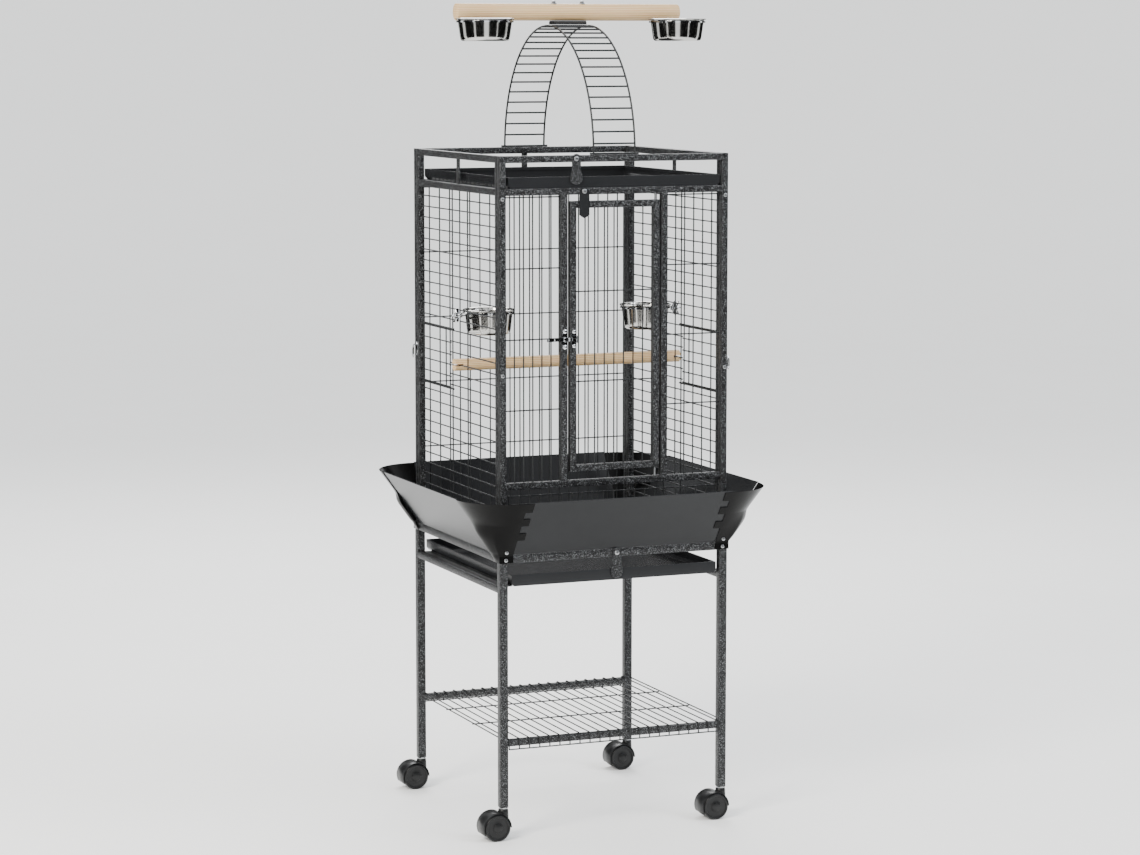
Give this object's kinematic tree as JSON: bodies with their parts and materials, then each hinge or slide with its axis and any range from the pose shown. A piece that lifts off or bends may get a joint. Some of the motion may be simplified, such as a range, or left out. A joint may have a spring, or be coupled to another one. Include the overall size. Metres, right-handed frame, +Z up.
{
  "type": "bird cage on stand",
  "caption": "Square tube-framed bird cage with a ladder arch and perch on its open top, a flared seed guard, and a rolling stand with a wire shelf.",
  "frame": {"origin": "on the floor under the middle of the cage", "axes": "+Z up, the front door faces -Y, +X to the right as seen from the front"},
  "size_m": [0.6176, 0.6236, 1.5512],
  "materials": {
    "hammertone": "charcoal hammertone powder coat",
    "wire": "dark grey powder coat",
    "sheet": "smooth near-black powder coat",
    "pine": "sanded pine, no varnish",
    "stainless": "polished stainless steel",
    "chrome": "bright plated steel",
    "nylon": "black nylon"
  },
  "bodies": {
    "cage": {"stand_side_left": "hammertone", "stand_side_right": "hammertone", "stand_rail_front": "hammertone", "stand_rail_back": "hammertone", "shelf_rail_front": "hammertone", "shelf_rail_back": "hammertone", "front_panel": "hammertone", "back_panel": "hammertone", "side_panel_left": "hammertone", "side_panel_right": "hammertone", "storage_shelf": "wire", "front_mesh_left": "wire", "front_mesh_right": "wire", "front_fence": "wire", "back_mesh": "wire", "side_mesh_left": "wire", "side_mesh_right": "wire", "floor_grate": "wire", "roof_grid": "wire", "ladder_arch": "wire", "perch_saddle": "wire", "guard_front": "sheet", "guard_back": "sheet", "guard_left": "sheet", "guard_right": "sheet", "guard_corner_front_left": "sheet", "guard_corner_front_right": "sheet", "guard_corner_back_left": "sheet", "guard_corner_back_right": "sheet", "top_perch": "pine", "inner_perch": "pine", "latch_plate": "chrome", "inner_cup_ring_left": "chrome", "inner_cup_ring_right": "chrome", "top_cup_ring_left": "chrome", "top_cup_ring_right": "chrome"},
    "front_door": {"front_door": "hammertone", "door_keeper": "chrome"},
    "latch_lever": {"latch_lever": "chrome"},
    "door_lock_plate": {"door_lock_plate": "sheet"},
    "top_tray_lock": {"top_tray_lock": "hammertone"},
    "bottom_tray_lock": {"bottom_tray_lock": "hammertone"},
    "top_tray": {"top_tray": "sheet"},
    "bottom_tray": {"bottom_tray": "sheet"},
    "feeder_door_left": {"feeder_door_left": "wire"},
    "feeder_latch_left": {"feeder_latch_left": "chrome"},
    "inner_cup_left": {"inner_cup_left": "stainless"},
    "top_cup_left": {"top_cup_left": "stainless"},
    "feeder_door_right": {"feeder_door_right": "wire"},
    "feeder_latch_right": {"feeder_latch_right": "chrome"},
    "inner_cup_right": {"inner_cup_right": "stainless"},
    "top_cup_right": {"top_cup_right": "stainless"},
    "caster_front_left": {"caster_hood_front_left": "nylon"},
    "wheels_front_left": {"caster_wheels_front_left": "nylon"},
    "caster_front_right": {"caster_hood_front_right": "nylon"},
    "wheels_front_right": {"caster_wheels_front_right": "nylon"},
    "caster_back_left": {"caster_hood_back_left": "nylon"},
    "wheels_back_left": {"caster_wheels_back_left": "nylon"},
    "caster_back_right": {"caster_hood_back_right": "nylon"},
    "wheels_back_right": {"caster_wheels_back_right": "nylon"}
  },
  "joints": [
    {"name": "front_door_hinge", "type": "hinge", "parent": "cage", "child": "front_door", "pos_m": [0.08365, -0.22665, 0.9368], "axis": [0, 0, 1], "range_deg": [0, 110]},
    {"name": "latch_turn", "type": "hinge", "parent": "cage", "child": "latch_lever", "pos_m": [-0.10195, -0.2348, 0.9335], "axis": [0, 1, 0], "range_deg": [0, 80]},
    {"name": "door_lock_turn", "type": "hinge", "parent": "cage", "child": "door_lock_plate", "pos_m": [-0.063, -0.2352, 1.20635], "axis": [0, 1, 0], "range_deg": [-90, 0]},
    {"name": "top_tray_lock_turn", "type": "hinge", "parent": "cage", "child": "top_tray_lock", "pos_m": [-0.079, -0.2352, 1.26615], "axis": [0, 1, 0], "range_deg": [-90, 90]},
    {"name": "bottom_tray_lock_turn", "type": "hinge", "parent": "cage", "child": "bottom_tray_lock", "pos_m": [0.0025, -0.2367, 0.52905], "axis": [0, 1, 0], "range_deg": [-75, 75]},
    {"name": "top_tray_slide", "type": "slide", "parent": "cage", "child": "top_tray", "axis": [0, -1, 0], "range_m": [0, 0.36]},
    {"name": "bottom_tray_slide", "type": "slide", "parent": "cage", "child": "bottom_tray", "axis": [0, -1, 0], "range_m": [0, 0.36]},
    {"name": "feeder_door_left_hinge", "type": "hinge", "parent": "cage", "child": "feeder_door_left", "pos_m": [-0.22365, 0.0412, 0.877], "axis": [0, 0, 1], "range_deg": [0, 120]},
    {"name": "feeder_latch_left_turn", "type": "hinge", "parent": "cage", "child": "feeder_latch_left", "pos_m": [-0.2303, 0.22063, 0.8875], "axis": [1, 0, 0], "range_deg": [-90, 90]},
    {"name": "inner_cup_left_lift", "type": "slide", "parent": "cage", "child": "inner_cup_left", "axis": [0, 0, 1], "range_m": [0, 0.06]},
    {"name": "top_cup_left_lift", "type": "slide", "parent": "cage", "child": "top_cup_left", "axis": [0, 0, 1], "range_m": [0, 0.06]},
    {"name": "feeder_door_right_hinge", "type": "hinge", "parent": "cage", "child": "feeder_door_right", "pos_m": [0.22365, -0.0412, 0.877], "axis": [0, 0, 1], "range_deg": [0, 120]},
    {"name": "feeder_latch_right_turn", "type": "hinge", "parent": "cage", "child": "feeder_latch_right", "pos_m": [0.2303, -0.22063, 0.8875], "axis": [1, 0, 0], "range_deg": [-90, 90]},
    {"name": "inner_cup_right_lift", "type": "slide", "parent": "cage", "child": "inner_cup_right", "axis": [0, 0, 1], "range_m": [0, 0.06]},
    {"name": "top_cup_right_lift", "type": "slide", "parent": "cage", "child": "top_cup_right", "axis": [0, 0, 1], "range_m": [0, 0.06]},
    {"name": "caster_front_left_swivel", "type": "hinge", "parent": "cage", "child": "caster_front_left", "pos_m": [-0.22355, -0.22655, 0.05], "axis": [0, 0, 1], "continuous": true},
    {"name": "wheels_front_left_roll", "type": "hinge", "parent": "caster_front_left", "child": "wheels_front_left", "pos_m": [-0.24155, -0.22655, 0.025], "axis": [0, 1, 0], "continuous": true},
    {"name": "caster_front_right_swivel", "type": "hinge", "parent": "cage", "child": "caster_front_right", "pos_m": [0.22355, -0.22655, 0.05], "axis": [0, 0, 1], "continuous": true},
    {"name": "wheels_front_right_roll", "type": "hinge", "parent": "caster_front_right", "child": "wheels_front_right", "pos_m": [0.20555, -0.22655, 0.025], "axis": [0, 1, 0], "continuous": true},
    {"name": "caster_back_left_swivel", "type": "hinge", "parent": "cage", "child": "caster_back_left", "pos_m": [-0.22355, 0.22655, 0.05], "axis": [0, 0, 1], "continuous": true},
    {"name": "wheels_back_left_roll", "type": "hinge", "parent": "caster_back_left", "child": "wheels_back_left", "pos_m": [-0.24155, 0.22655, 0.025], "axis": [0, 1, 0], "continuous": true},
    {"name": "caster_back_right_swivel", "type": "hinge", "parent": "cage", "child": "caster_back_right", "pos_m": [0.22355, 0.22655, 0.05], "axis": [0, 0, 1], "continuous": true},
    {"name": "wheels_back_right_roll", "type": "hinge", "parent": "caster_back_right", "child": "wheels_back_right", "pos_m": [0.20555, 0.22655, 0.025], "axis": [0, 1, 0], "continuous": true}
  ]
}
